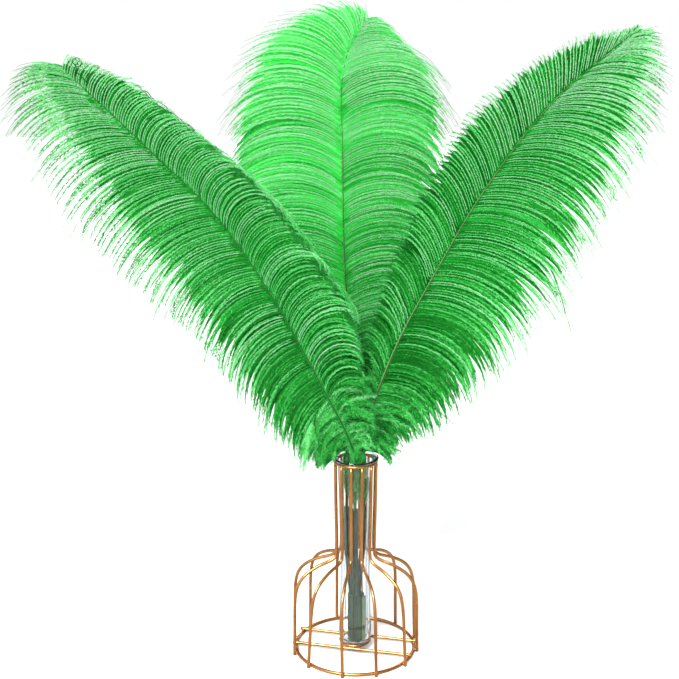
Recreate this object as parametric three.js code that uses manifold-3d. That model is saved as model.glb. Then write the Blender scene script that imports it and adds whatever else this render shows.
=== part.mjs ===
// Three dyed ostrich plumes standing in a glass tube, in a gold wire-frame vase.
// Millimetres, +Z up. The origin is on the vase's axis, level with the surface it stands on.
// The plumes fan out along X, the middle one behind (+Y); -Y is the side they are looked at from.
import * as THREE from "three";
import { mergeVertices } from "three/addons/utils/BufferGeometryUtils.js";
import Module from "manifold-3d";

// ---- Wire frame ----
const WIRE_R = 1.6; // half the thickness of the frame's wire
const BAR_WIRE_R = 1.5;
const SEAT_WIRE_R = 1.2;
const WELD_GAP = 0.3; // left between pieces that are welded or rest on each other
const BASE_RING_R = 59.2; // to the middle of the wire
const TOP_RING_R = 20.6;
const TOP_RING_Z = 197;
const SEAT_RING_R = 14.7;
const UPRIGHTS = 12;
const FIRST_UPRIGHT_DEG = 8;
const BAR_OFFSET = 14.7; // each crossbar's distance from the vase's axis
const BAR_HALF_LENGTH = 60.5;
const BAR_DEG = -22; // the crossbars run along this direction
const BAR_SIDES = 8;
const RING_SIDES = 8;
const SMALL_RING_SIDES = 6;
const UPRIGHT_SIDES = 6;
const BASE_RING_STEPS = 28;
const SMALL_RING_STEPS = 20;
// The middle of an upright wire, from its foot to the neck: [distance from the axis, height]
const UPRIGHT_LINE = [
  [62.8, 0.3],
  [62.2, 56],
  [61, 66.5],
  [58, 76],
  [51.5, 84],
  [39, 91.4],
  [24, 96.8],
  [20.2, 100],
  [19.3, 105],
  [20.4, 194.8],
];
// The wires are bent by hand: how many degrees round the axis each one's foot stands from its neck. The turn
// goes to nothing at the height FOOT_TURN_TOP_Z.
const FOOT_TURNS = [-2.5, -0.4, 0, 0, 0.4, 0, -0.7, -4, 1, 1, 3.5, 3];
const FOOT_TURN_TOP_Z = 66;

// ---- Glass tube: [radius, height] of the outer skin from the foot up, round the lip, and down the inside ----
const TUBE_STEPS = 20;
const TUBE_LINE = [
  [0, 6.8],
  [9, 6.8],
  [12.6, 8],
  [15, 11],
  [15.9, 15],
  [15.2, 50],
  [14.3, 85],
  [14.9, 112],
  [16.8, 176],
  [17.4, 193],
  [18.5, 197.8],
  [20.2, 199.2],
  [22.3, 199.8],
  [22.3, 201.2],
  [19.6, 200.9],
  [17, 199.2],
  [15.9, 193],
  [15.4, 176],
  [13.5, 112],
  [12.9, 85],
  [13.8, 50],
  [14.4, 15.5],
  [12.8, 11],
  [9.5, 8.3],
  [0, 8.3],
];

// ---- Taped stems ----
const STEM_FOOT_Z = 9;
const TAPE_TOP_Z = 150;
const QUILL_R = 2.1;
const TAPE_IN_R = 2.45;
const TAPE_OUT_R = 3.2;
const TAPE_SIDES = 8;
const BINDING_TOP_Z = 57.8;
const BINDING_IN_R = 7.5;
const BINDING_OUT_R = 8.6;
const BINDING_STEPS = 16;

// ---- Plumes ----
// stem: the middle of the quill and shaft, from the foot in the tube to the tip; MOUTH_Z is where the vane starts.
// vanes: on the -X side (left) and on the +X side (right). Each line of `barbs` is
// [part of the way up the vane, length, angle to the shaft at the root, angle at the tip]. A barb is an arc of a
// circle in the plume's own plane. Its tip stands `cup` per 100 mm of its length out of that plane, towards -Y;
// neighbouring locks stand LOCK_SPREAD more and less than that, which gives the vane its depth.
const MOUTH_Z = 206;
const PLUMES = {
  left: {
    back: -0.1, // how far the plume's plane leans towards +Y for each mm of height
    stem: [
      [0, -3.9, STEM_FOOT_Z],
      [0, -3.9, 60],
      [0.3, -4.6, 110],
      [0, -6, 160],
      [-3, -11, MOUTH_Z],
      [-40, -19, 287],
      [-81, -27, 365],
      [-130, -34, 440],
      [-191, -41, 504],
      [-254, -47, 566],
    ],
    left: {
      cup: 42,
      barbs: [
        [0.04, 38, 86, 126],
        [0.16, 63, 92, 148],
        [0.3, 77, 74, 147],
        [0.45, 87, 60, 134],
        [0.6, 104, 54, 112],
        [0.75, 102, 40, 106],
        [0.9, 82, 24, 100],
        [0.96, 62, 18, 84],
        [1, 32, 12, 66],
      ],
    },
    right: {
      cup: 15,
      barbs: [
        [0.04, 32, 40, 160],
        [0.16, 52, 28, 146],
        [0.3, 74, 38, 146],
        [0.45, 78, 36, 166],
        [0.6, 69, 32, 172],
        [0.75, 50, 46, 150],
        [0.9, 34, 46, 128],
        [1, 12, 50, 90],
      ],
    },
  },
  middle: {
    back: 0.158,
    stem: [
      [-3.4, 1.95, STEM_FOOT_Z],
      [-3.4, 1.95, 60],
      [-7, 2.6, 110],
      [-7, 3.5, 160],
      [-5, 8, MOUTH_Z],
      [-3, 25, 304],
      [-5, 42, 409],
      [-4, 55, 492],
      [-3, 65, 555],
      [5, 70, 587],
      [22, 74, 612],
    ],
    left: {
      cup: -14,
      barbs: [
        [0.04, 30, 60, 140],
        [0.2, 84, 56, 150],
        [0.45, 122, 50, 150],
        [0.66, 130, 46, 146],
        [0.78, 128, 48, 142],
        [0.88, 104, 48, 130],
        [0.95, 50, 40, 112],
        [1, 12, 10, 50],
      ],
    },
    right: {
      cup: -14,
      barbs: [
        [0.04, 30, 60, 140],
        [0.2, 84, 56, 150],
        [0.45, 122, 52, 154],
        [0.66, 131, 54, 156],
        [0.78, 131, 52, 146],
        [0.88, 116, 44, 128],
        [0.95, 68, 28, 112],
        [1, 14, 10, 60],
      ],
    },
  },
  right: {
    back: 0,
    stem: [
      [3.4, 1.95, STEM_FOOT_Z],
      [3.4, 1.95, 60],
      [7, 2.6, 110],
      [7.2, 1.5, 160],
      [5, -4, MOUTH_Z],
      [31, -8, 297],
      [75, -8, 383],
      [125, -8, 466],
      [185, -8, 540],
      [259, -8, 599],
    ],
    left: {
      cup: 5,
      barbs: [
        [0.04, 26, 30, 110],
        [0.2, 44, 20, 90],
        [0.32, 52, 34, 98],
        [0.45, 61, 40, 98],
        [0.6, 61, 44, 100],
        [0.75, 50, 48, 84],
        [0.88, 34, 42, 42],
        [1, 10, 14, 10],
      ],
    },
    right: {
      cup: 15,
      barbs: [
        [0.04, 36, 70, 150],
        [0.16, 84, 66, 154],
        [0.3, 111, 60, 139],
        [0.45, 128, 57, 121],
        [0.6, 130, 46, 124],
        [0.75, 124, 33, 110],
        [0.88, 84, 18, 78],
        [0.95, 47, 8, 60],
        [1, 18, 4, 46],
      ],
    },
    stray: [0.45, 160, 40, 154], // a tuft on the outer vane that hangs out below its neighbours
  },
};
const SHAFT_STEPS = 11; // up the vane
const SHAFT_SIDES = 6;
const SHAFT_BASE_R = 2.6; // half the shaft's thickness where the vane starts
const SHAFT_TIP_R = 0.9;
// Half the thickness below the vane: [height, radius]. The thick top is the down that fills the tube's neck.
const QUILL_LINE = [
  [STEM_FOOT_Z, QUILL_R],
  [60, QUILL_R],
  [85, QUILL_R],
  [110, QUILL_R],
  [TAPE_TOP_Z, QUILL_R],
  [158, 4.2],
  [200, 4.2],
];
const LOCKS_PER_VANE = 20;
const LOCK_SPREAD = 8;
const LOCK_STEPS = 4;
const LOCK_SIDES = 3;
const LOCK_FIRST = 0.05; // part of the way up the vane
const LOCK_LAST = 0.985;
// A lock's section: [part of its length, half width, half thickness]. The root sits inside the shaft.
const LOCK_SECTIONS = [
  [0, 0.8, 0.5],
  [0.25, 6, 1.6],
  [0.75, 5, 1.1],
  [1, 0, 0],
];

const wasm = await Module();
wasm.setup();

const ACROSS = new THREE.Vector3();
const OUT = new THREE.Vector3();

// Reads the value at x off rows of [x, value, ...], straight between them
function between(rows, x, column = 1) {
  let i = 1;
  while (i < rows.length - 1 && rows[i][0] < x) i += 1;
  const [a, b] = [rows[i - 1], rows[i]];
  const t = THREE.MathUtils.clamp((x - a[0]) / (b[0] - a[0]), 0, 1);
  return a[column] + (b[column] - a[column]) * t;
}

// The corner points of a section at `at`, its plane square to `along`, with `ref` giving its second direction
function section(at, along, ref, sides, halfWide, halfThick, turn) {
  ACROSS.crossVectors(ref, along).normalize();
  OUT.crossVectors(along, ACROSS).normalize();
  const points = [];
  for (let k = 0; k < sides; k += 1) {
    const a = (2 * Math.PI * (k + turn)) / sides;
    const p = at.clone().addScaledVector(ACROSS, halfWide * Math.cos(a));
    points.push(p.addScaledVector(OUT, halfThick * Math.sin(a)));
  }
  return points;
}

// Closes rings of equal count into one solid; a ring of one point is a pointed end
function skin(rings) {
  const flat = rings.flat();
  const starts = [];
  let count = 0;
  for (const ring of rings) {
    starts.push(count);
    count += ring.length;
  }
  const index = [];
  for (let r = 0; r < rings.length - 1; r += 1) {
    const n = rings[r].length;
    const pointed = rings[r + 1].length === 1;
    for (let k = 0; k < n; k += 1) {
      const a = starts[r] + k;
      const b = starts[r] + ((k + 1) % n);
      const c = pointed ? starts[r + 1] : starts[r + 1] + k;
      index.push(a, b, c);
      if (!pointed) index.push(b, starts[r + 1] + ((k + 1) % n), c);
    }
  }
  const last = rings.length - 1;
  for (let k = 1; k < rings[0].length - 1; k += 1) index.push(0, k + 1, k);
  for (let k = 1; k < rings[last].length - 1; k += 1) {
    index.push(starts[last], starts[last] + k, starts[last] + k + 1);
  }
  return asGeometry(flat.flatMap((p) => p.toArray()), index);
}

function asGeometry(positions, index) {
  const geometry = new THREE.BufferGeometry();
  geometry.setAttribute("position", new THREE.Float32BufferAttribute(positions, 3));
  geometry.setIndex(index);
  return geometry;
}

// A round rod along a line of points
function rod(points, ref, radius, sides, turn = 0) {
  const rings = points.map((p, i) => {
    const along = points[Math.min(i + 1, points.length - 1)].clone();
    along.sub(points[Math.max(i - 1, 0)]).normalize();
    return section(p, along, ref, sides, radius, radius, turn);
  });
  return skin(rings);
}

function lathe(line, steps) {
  const geometry = new THREE.LatheGeometry(
    line.map(([r, z]) => new THREE.Vector2(r, z)),
    steps,
  );
  geometry.rotateX(Math.PI / 2);
  geometry.deleteAttribute("normal");
  geometry.deleteAttribute("uv");
  return mergeVertices(geometry, 1e-4);
}

// A ring of wire with one flat side of its section facing down
function wireRing(radius, wireR, z, sides, steps) {
  const line = [];
  for (let k = 0; k <= sides; k += 1) {
    const a = (2 * Math.PI * ((k % sides) + 0.5)) / sides;
    line.push([radius + wireR * Math.sin(a), z - wireR * Math.cos(a)]);
  }
  return lathe(line, steps);
}

function toManifold(geometry) {
  return new wasm.Manifold(
    new wasm.Mesh({
      numProp: 3,
      vertProperties: new Float32Array(geometry.getAttribute("position").array),
      triVerts: new Uint32Array(geometry.getIndex().array),
    }),
  );
}

function fromManifold(solid) {
  const mesh = solid.getMesh();
  return asGeometry(Array.from(mesh.vertProperties), Array.from(mesh.triVerts));
}

// The part of the way along a plume's line at which it reaches a height
function reach(curve, z) {
  let t = 0;
  while (curve.getPointAt(t).z < z) t += 0.0005;
  return t;
}

// A plume's shaft line, the direction square to its plane, and the part of the line where the vane starts
function layOut(plume) {
  const curve = new THREE.CatmullRomCurve3(
    plume.stem.map((p) => new THREE.Vector3(...p)),
    false,
    "centripetal",
  );
  curve.arcLengthDivisions = 600;
  const square = new THREE.Vector3(0, 1, -plume.back).normalize();
  return { curve, square, mouth: reach(curve, MOUTH_Z) };
}

// One lock of barbs: an arc of a circle from the shaft, cupped out of the plume's plane, pointed at its tip
function lock({ curve, square, mouth }, side, cup, [up, length, firstDeg, lastDeg]) {
  const first = THREE.MathUtils.degToRad(firstDeg);
  const bend = THREE.MathUtils.degToRad(lastDeg) - first;
  const at = mouth + (1 - mouth) * up;
  const root = curve.getPointAt(at);
  const along = curve.getTangentAt(at);
  const outward = new THREE.Vector3().crossVectors(square, along).normalize();
  if (side === "left") outward.negate();
  const point = (v) => {
    const forward = (length * (Math.sin(first + bend * v) - Math.sin(first))) / bend;
    const sideways = (length * (Math.cos(first) - Math.cos(first + bend * v))) / bend;
    const p = root.clone().addScaledVector(along, forward).addScaledVector(outward, sideways);
    return p.addScaledVector(square, (-cup * length * v * v) / 100);
  };
  const rings = [];
  for (let i = 0; i < LOCK_STEPS; i += 1) {
    const v = i / LOCK_STEPS;
    const heading = point(v + 0.05).sub(point(Math.max(v - 0.05, 0))).normalize();
    const wide = between(LOCK_SECTIONS, v);
    const thick = between(LOCK_SECTIONS, v, 2);
    rings.push(section(point(v), heading, square, LOCK_SIDES, wide, thick, 0.75));
  }
  rings.push([point(1)]);
  return toManifold(skin(rings));
}

function plumeSolid(plume) {
  const layout = layOut(plume);
  const { curve, square, mouth } = layout;
  const stops = QUILL_LINE.map(([z, r]) => [reach(curve, z), r]);
  for (let i = 1; i <= SHAFT_STEPS; i += 1) {
    const up = i / SHAFT_STEPS;
    stops.push([mouth + (1 - mouth) * up, SHAFT_BASE_R + (SHAFT_TIP_R - SHAFT_BASE_R) * up]);
  }
  const rings = stops.map(([t, r]) =>
    section(curve.getPointAt(t), curve.getTangentAt(t), square, SHAFT_SIDES, r, r, 0),
  );
  const parts = [toManifold(skin(rings))];
  for (let i = 0; i < LOCKS_PER_VANE; i += 1) {
    const up = LOCK_FIRST + ((LOCK_LAST - LOCK_FIRST) * i) / (LOCKS_PER_VANE - 1);
    const spread = i % 2 ? LOCK_SPREAD : -LOCK_SPREAD;
    for (const side of ["left", "right"]) {
      const { barbs, cup } = plume[side];
      const row = [up, between(barbs, up), between(barbs, up, 2), between(barbs, up, 3)];
      parts.push(lock(layout, side, cup + spread, row));
    }
  }
  if (plume.stray) parts.push(lock(layout, "right", plume.right.cup, plume.stray));
  return fromManifold(wasm.Manifold.union(parts));
}

// A sleeve of tape round the quill: the outer skin with the quill's own line cut out of it
function tapeSleeve(plume) {
  const { curve, square } = layOut(plume);
  const stops = QUILL_LINE.filter(([z]) => z <= TAPE_TOP_Z).map(([z]) => reach(curve, z));
  const wall = (radius) =>
    stops.map((t) =>
      section(curve.getPointAt(t), curve.getTangentAt(t), square, TAPE_SIDES, radius, radius, 0.5),
    );
  const outer = wall(TAPE_OUT_R);
  const inner = wall(TAPE_IN_R);
  const loop = [...outer, ...inner.reverse(), outer[0]];
  const index = [];
  const n = TAPE_SIDES;
  for (let r = 0; r < loop.length - 1; r += 1) {
    for (let k = 0; k < n; k += 1) {
      const a = r * n + k;
      const b = r * n + ((k + 1) % n);
      index.push(a, b, a + n, b, b + n, a + n);
    }
  }
  return mergeVertices(asGeometry(loop.flat().flatMap((p) => p.toArray()), index), 1e-4);
}

const COLOURS = {
  plume: { color: 0x2fae4e, roughness: 0.85, metalness: 0 },
  tape: { color: 0x4f6a54, roughness: 0.7, metalness: 0 },
  glass: { color: 0xdfeeea, roughness: 0.05, metalness: 0, transparent: true, opacity: 0.35 },
  gold: { color: 0xc8862e, roughness: 0.3, metalness: 0.9 },
};

const vase = new THREE.Group();
vase.name = "ostrich_plumes_in_wire_vase";

function add(name, geometry, look) {
  const mesh = new THREE.Mesh(geometry, new THREE.MeshStandardMaterial(COLOURS[look]));
  mesh.name = name;
  vase.add(mesh);
}

for (const [name, plume] of Object.entries(PLUMES)) {
  add(`feather_${name}`, plumeSolid(plume), "plume");
  add(`stem_tape_${name}`, tapeSleeve(plume), "tape");
}

const bindingFoot = STEM_FOOT_Z + WELD_GAP;
add(
  "stem_binding",
  lathe(
    [
      [BINDING_IN_R, bindingFoot],
      [BINDING_OUT_R, bindingFoot],
      [BINDING_OUT_R, BINDING_TOP_Z],
      [BINDING_IN_R, BINDING_TOP_Z],
      [BINDING_IN_R, bindingFoot],
    ],
    BINDING_STEPS,
  ),
  "tape",
);
add("glass_tube", lathe(TUBE_LINE, TUBE_STEPS), "glass");

const baseRingZ = WIRE_R * Math.cos(Math.PI / RING_SIDES);
const barZ = 2 * baseRingZ + WELD_GAP + BAR_WIRE_R;
const seatZ = barZ + BAR_WIRE_R + WELD_GAP + SEAT_WIRE_R;
add("base_ring", wireRing(BASE_RING_R, WIRE_R, baseRingZ, RING_SIDES, BASE_RING_STEPS), "gold");
add("top_ring", wireRing(TOP_RING_R, WIRE_R, TOP_RING_Z, SMALL_RING_SIDES, SMALL_RING_STEPS), "gold");
add("seat_ring", wireRing(SEAT_RING_R, SEAT_WIRE_R, seatZ, SMALL_RING_SIDES, SMALL_RING_STEPS), "gold");

const UP = new THREE.Vector3(0, 0, 1);
for (let i = 0; i < UPRIGHTS; i += 1) {
  const a = THREE.MathUtils.degToRad(FIRST_UPRIGHT_DEG + (360 * i) / UPRIGHTS);
  const points = UPRIGHT_LINE.map(([r, z]) => {
    const turned = a + THREE.MathUtils.degToRad(FOOT_TURNS[i] * Math.max(0, 1 - z / FOOT_TURN_TOP_Z));
    return new THREE.Vector3(r * Math.cos(turned), r * Math.sin(turned), z);
  });
  const square = new THREE.Vector3(-Math.sin(a), Math.cos(a), 0);
  const name = `upright_wire_${String(i + 1).padStart(2, "0")}`;
  add(name, rod(points, square, WIRE_R, UPRIGHT_SIDES), "gold");
}

const barA = THREE.MathUtils.degToRad(BAR_DEG);
const barAlong = new THREE.Vector3(Math.cos(barA), Math.sin(barA), 0);
const barAcross = new THREE.Vector3(-Math.sin(barA), Math.cos(barA), 0);
for (const [name, sign] of [
  ["crossbar_back", 1],
  ["crossbar_front", -1],
]) {
  const ends = [-BAR_HALF_LENGTH, BAR_HALF_LENGTH].map((s) => {
    const p = new THREE.Vector3(0, 0, barZ).addScaledVector(barAlong, s);
    return p.addScaledVector(barAcross, sign * BAR_OFFSET);
  });
  add(name, rod(ends, UP, BAR_WIRE_R, BAR_SIDES), "gold");
}

export default vase;
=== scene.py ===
"""Three green ostrich plumes in a glass tube, held upright by a gold wire vase.

Metres, +Z up. The vase's axis goes through the origin, which is level with the floor. The plumes
fan out along X with the middle one behind (+Y); -Y is the side they are looked at from.
Lengths in the tables are millimetres and angles are degrees; put() turns them into metres.
"""
import math

import bpy
import numpy as np
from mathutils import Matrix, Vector


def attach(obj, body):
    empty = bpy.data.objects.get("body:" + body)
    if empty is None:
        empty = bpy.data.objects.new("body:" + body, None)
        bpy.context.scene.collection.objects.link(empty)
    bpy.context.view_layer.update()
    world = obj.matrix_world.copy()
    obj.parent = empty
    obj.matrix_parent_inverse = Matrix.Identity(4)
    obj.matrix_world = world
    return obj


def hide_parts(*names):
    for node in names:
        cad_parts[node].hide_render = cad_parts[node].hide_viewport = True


MM = 0.001
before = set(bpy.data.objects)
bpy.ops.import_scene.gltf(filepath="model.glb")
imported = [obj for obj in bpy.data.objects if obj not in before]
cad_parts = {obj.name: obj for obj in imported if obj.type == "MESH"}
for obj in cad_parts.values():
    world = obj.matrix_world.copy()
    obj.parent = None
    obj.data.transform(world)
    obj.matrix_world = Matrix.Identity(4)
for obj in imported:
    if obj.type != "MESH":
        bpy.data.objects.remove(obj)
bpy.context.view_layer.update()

# ---- Camera, floor and light ----
CAMERA_AT = (-176.29, -999.78, 550.3)
CAMERA_LOOKS = (0.15446, 0.96243, -0.22330)
SENSOR_WIDTH = 36
CAMERA_LENS = 58.32
LAMPS_LOOK_AT = (0, 0, 0.35)  # metres, the middle of the plumes
FLOOR_HALF = 12  # metres
SOFT_BOX_WAY = (-0.62, -0.78, 0)  # from the vase to the soft box, in plan
SOFT_BOX_SHINE = 1.6  # how bright it is in the gold and on the glass

# ---- Wire frame ----
WIRE_R = 1.6
BAR_WIRE_R = 1.5
SEAT_WIRE_R = 1.2
BASE_RING = (59.2, 1.6)  # radius and height of the wire's middle
TOP_RING = (20.6, 197)
SEAT_RING = (14.7, 7.76)
UPRIGHTS = 12
FIRST_UPRIGHT_DEG = 8
UPRIGHT_LINE = [
    (62.8, 0.1), (62.5, 30), (62.2, 54), (61, 66.5), (58, 76), (51.5, 84), (39, 91.4),
    (24, 96.8), (20.2, 100), (19.3, 105), (19.8, 150), (20.4, 195.4),
]
# The wires are bent by hand: degrees round the axis from each one's neck to its foot
FOOT_TURNS = [-2.5, -0.4, 0, 0, 0.4, 0, -0.7, -4, 1, 1, 3.5, 3]
FOOT_TURN_TOP_Z = 66
FOOT_WELD = (60.9, 1.7)  # radius and height of the welds on the base ring
NECK_WELD = (20.5, 195.5)
BAR_Z = 4.756
BAR_OFFSET = 14.7
BAR_HALF_LENGTH = 60.5
BAR_DEG = -22
BAR_WELD_IN = 0.955  # how far out along a crossbar its welds sit

# ---- Glass tube: radius and height down the outer skin, then round the lip and down the inside ----
TUBE_LINE = [
    (0, 6.8), (9, 6.8), (12.6, 8), (15, 11), (15.9, 15), (15.6, 32), (15.2, 50), (14.3, 85),
    (14.9, 112), (16.8, 176), (17.4, 193), (18.5, 197.8), (20.2, 199.2), (22.0, 199.8),
    (22.5, 200.5), (22.0, 201.2), (19.6, 200.9), (17, 199.2), (15.8, 193), (15.0, 176),
    (12.9, 112), (12.0, 85), (12.9, 50), (13.2, 15.5), (12.0, 11), (9.0, 8.6), (0, 8.6),
]
TUBE_STEPS = 96
AXIS_R = 0.02  # the last ring of points before the axis

# ---- Stems ----
TAPE_TOP_Z = 150
TAPE_R = 3.05
TAPE_LAP = 0.3  # how much the edge of each turn of tape stands up
TAPE_PITCH = 11
BINDING_FOOT_Z = 9.3
BINDING_TOP_Z = 57.8
BINDING_R = 8.1
STAIN_Z = 23.5
BINDING_SHIFT = 0.9  # the wrap is thicker on its +X side
BINDING_BULGE = 0.35  # how much the binding rises over each stem
CREASES = 17  # round the binding
CREASE = 0.16
BINDING_LAP = (0.12, 16)  # how much the edge of each turn of the binding stands up, and its pitch
PALE_STRIP = (7.4, -5.2)  # where the tape's pale end runs down the binding
PALE_STRIP_R = 2.2
MOUTH_Z = 206  # where the vanes start
NECK_CLEAR_Z = 204  # a barb in front of the neck stays above this in the view
HANG_Z = 190  # and one beside the neck hangs down to this
NECK_HALF = 23.5  # half the width that stays clear
LOOK_DOWN = 0.23  # a point's fall in the view for each millimetre towards -Y
QUILL_R = 1.7
SHAFT_TIP_R = 0.45
SHAFT_DEPTH = 1.4  # how much more it measures from its middle to its front than to its sides
GROOVE = (0.30, 0.42)  # depth of the shaft's groove, as a part of its radius, and width in radians
# The groove colour of each shaft is painted shade in its groove.
SHAFT_COLOURS = {  # horn, groove and edge
    "left": ((0.02, 0.26, 0.04), (0.004, 0.08, 0.010), (0.05, 0.40, 0.07)),
    "middle": ((0.10, 0.20, 0.08), (0.012, 0.03, 0.014), (0.30, 0.28, 0.15)),
    "right": ((0.006, 0.06, 0.010), (0.008, 0.06, 0.012), (0.24, 0.46, 0.13)),
}
SHAFT_BACK = 0.35  # how far its middle lies behind the barbs in front

# ---- Plumes: as the solids have them, but for the quills in the tube, which stand up to 1.6 mm further
# apart, and the right plume's inner vane, which bends less.
# Barb rows: part of the way up the vane, length, angle to the shaft at the root, angle at the tip.
# cup: how far a tip stands out towards -Y, per 100 mm. back: how far the plume leans back.
PLUMES = {
    "left": {
        "back": -0.1,
        "stem": [
            (0, -3.9, 9), (0, -3.9, 60), (-1.2, -4.6, 110), (-1.6, -6, 160), (-3, -11, 206),
            (-40, -19, 287), (-81, -27, 365), (-130, -34, 440), (-191, -41, 504), (-254, -47, 566),
        ],
        "left": {"cup": 42, "barbs": [
            (0.04, 38, 86, 126), (0.16, 63, 92, 148), (0.3, 77, 74, 147), (0.45, 87, 60, 134),
            (0.6, 104, 54, 112), (0.75, 102, 40, 106), (0.9, 82, 24, 100), (0.96, 62, 18, 84),
            (1, 32, 12, 66)]},
        "right": {"cup": 15, "barbs": [
            (0.04, 32, 40, 160), (0.16, 52, 28, 146), (0.3, 74, 38, 146), (0.45, 78, 36, 166),
            (0.6, 69, 32, 172), (0.75, 50, 46, 150), (0.9, 34, 46, 128), (1, 12, 50, 90)]},
    },
    "middle": {
        "back": 0.158,
        "stem": [
            (-3.4, 1.95, 9), (-3.4, 1.95, 60), (-8, 2.6, 110), (-8, 3.5, 160), (-5, 8, 206),
            (-3, 25, 304), (-5, 42, 409), (-4, 55, 492), (-3, 65, 555), (5, 70, 587), (22, 74, 612),
        ],
        "left": {"cup": -14, "barbs": [
            (0.04, 30, 60, 140), (0.2, 84, 56, 150), (0.45, 122, 50, 150), (0.66, 130, 46, 146),
            (0.78, 128, 48, 142), (0.88, 104, 48, 130), (0.95, 50, 40, 112), (1, 12, 10, 50)]},
        "right": {"cup": -14, "barbs": [
            (0.04, 30, 60, 140), (0.2, 84, 56, 150), (0.45, 122, 52, 154), (0.66, 131, 54, 156),
            (0.78, 131, 52, 146), (0.88, 116, 44, 128), (0.95, 68, 28, 112), (1, 14, 10, 60)]},
    },
    "right": {
        "back": 0,
        "stem": [
            (3.4, 1.95, 9), (3.4, 1.95, 60), (8.3, 2.6, 110), (8.6, 1.5, 160), (5, -4, 206),
            (31, -8, 297), (75, -8, 383), (125, -8, 466), (185, -8, 540), (259, -8, 599),
        ],
        "left": {"cup": 5, "barbs": [
            (0.04, 26, 30, 96), (0.2, 44, 22, 74), (0.32, 52, 36, 78), (0.45, 60, 44, 78),
            (0.6, 60, 48, 80), (0.75, 50, 50, 68), (0.88, 34, 42, 42), (1, 10, 14, 10)]},
        "right": {"cup": 15, "barbs": [
            (0.04, 36, 70, 150), (0.16, 84, 66, 154), (0.3, 111, 60, 139), (0.45, 128, 57, 121),
            (0.6, 130, 46, 124), (0.75, 124, 33, 110), (0.88, 84, 18, 78), (0.95, 47, 8, 60),
            (1, 18, 4, 46)]},
    },
}
# Single hairs in a plume's plane, (x, z): bare ones that run wild along the left plume's inner edge, and a
# tuft that hangs out of the right plume's outer vane
WISPS = [
    [(-235, 555), (-240, 561), (-243, 563), (-242, 566), (-239, 568), (-238, 571), (-241, 574), (-245, 572),
     (-244, 569), (-240, 569)],
    [(-208, 536), (-202, 547), (-195, 552), (-191, 551), (-190, 548), (-186, 547), (-181, 541), (-174, 537),
     (-169, 533), (-170, 530)],
    [(-203, 532), (-194, 543), (-189, 547), (-182, 540), (-174, 534), (-167, 528), (-161, 524), (-157, 518),
     (-153, 512), (-147, 509), (-146, 512), (-151, 519), (-157, 521), (-163, 526)],
    [(-187, 524), (-176, 530), (-167, 530), (-161, 526), (-155, 521), (-150, 517), (-146, 512), (-141, 507),
     (-137, 501)],
    [(-235, 554), (-231, 564), (-226, 568), (-224, 567), (-226, 564)],
]
TUFT = [
    [(140, 434), (165, 410), (185, 383), (196, 359), (204, 336), (214, 309)],
    [(150, 428), (172, 402), (188, 380), (198, 355), (203, 334), (206, 318)],
    [(146, 430), (170, 406), (187, 381), (197, 357), (205, 333), (211, 314)],
    [(128, 440), (160, 412), (180, 386), (193, 362), (200, 340), (201, 326)],
]

# ---- Barbs ----
BARB_STOPS = 13  # points along a barb
BARB_CORE_R = 0.34
BARB_TIP_R = 0.15
UNDER_GAP = 1.6  # how far the barbs behind lie behind the ones in front
UNDER_BEND = 3  # and how much further back their tips bend, per 100 mm
TONES = 24  # columns of the barbs' colour map, from dark to light
CORE_PART = 0.3  # the barb's core has this much of a column, from 0 to 1 across it
BARBULE_PART = (0.40, 0.95)  # a barbule's root and tip
WEB_PART = (0.45, 0.65)
SPECKLE = 3.8  # how far a barbule's tone strays from its barb's
SWAY = ([0, 0.3, 0.55, 1], [1.7, 1.2, 0.45, 0.4])  # how far the barbs wave, by place up the vane
CLING = ([0, 0.35, 0.6], [4.0, 2.6, 1.0])  # how much more neighbours cling together near the mouth
PATCHY = ([0, 0.4, 0.6], [4.2, 3.2, 2.2])  # how far the barbs' tones differ from each other
FLUFFY = ([0, 0.3, 0.55], [1.7, 1.35, 1.0])  # how much longer the barbules in front are near the mouth
# Normal spreads of the barbs' first angle, last angle and cup: in front, behind, and in the fluff
STRAY_FRONT = (0.35, 0.9, 2.0)
STRAY_BACK = (0.5, 1.2, 2.0)
STRAY_FLUFF = (14, 22, 40)
WEB_TILT = 18  # degrees

# ---- Fluff at the mouth, on each side of a plume, and down on the quills inside the tube ----
FLUFF_UP = 0.15  # how far up the vane it grows
FLUFF_BARBS = 46
FLUFF_BARBULES = 8000
# The middle plume's fluff is darker: painted shade between the plumes.
FLUFF_TONE = {"left": 11, "middle": 5, "right": 9}
DOWN_Z = {"left": (152, 208), "middle": (158, 208), "right": (146, 208)}
DOWN_HAIRS = 80
DOWN_BARBULES = 9000
DOWN_LENGTHS = (12, 24)
DOWN_LEAN = 0.3  # how far a hair stands out from the quill, as a part of its length
DOWN_TONE = 11.5

# ---- Vanes ----
# front, back: barbs in each layer. fine, loose: barbules in each.
# fade: change of tone along a barb. pull: how much neighbours cling together.
# stray: how far a barb's tip strays from its neighbours. ragged: how unequal their lengths are.
# strand: the barbules' length in front at the shaft and in a barb's middle.
# curl: how far the barbs' ends curl back, in degrees.
# web: half width of the webs behind, and how bluntly they end.
# The rest are by place up the vane: tones and dark are the tones in front and behind, dark being painted
# shade on the barbs behind; hair is the barbules' length at a barb's tip, bare the part of a barb that has
# barbules, closed the part that has a web.
# The tones of every vane rise from the mouth upwards: the darker tones low down are painted shade.
MIDDLE_VANE = {
    "front": 178, "back": 150, "fine": 78000, "loose": 26000, "fade": 0, "pull": 0.12, "stray": 2.4,
    "ragged": 0.05, "strand": (1.5, 2.2), "curl": 10, "web": (3.8, 6),
    "tones": ([0, 0.12, 0.3, 1], [5, 11, 17, 24]),
    "dark": ([0, 0.12, 0.3, 1], [1, 4, 9, 14]),
    "hair": ([0, 0.5, 1], [3.6, 2.8, 1.5]),
    "bare": ([0, 1], [0.95, 0.82]),
    "closed": ([0, 0.6, 1], [0.97, 0.95, 0.8]),
}
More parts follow.
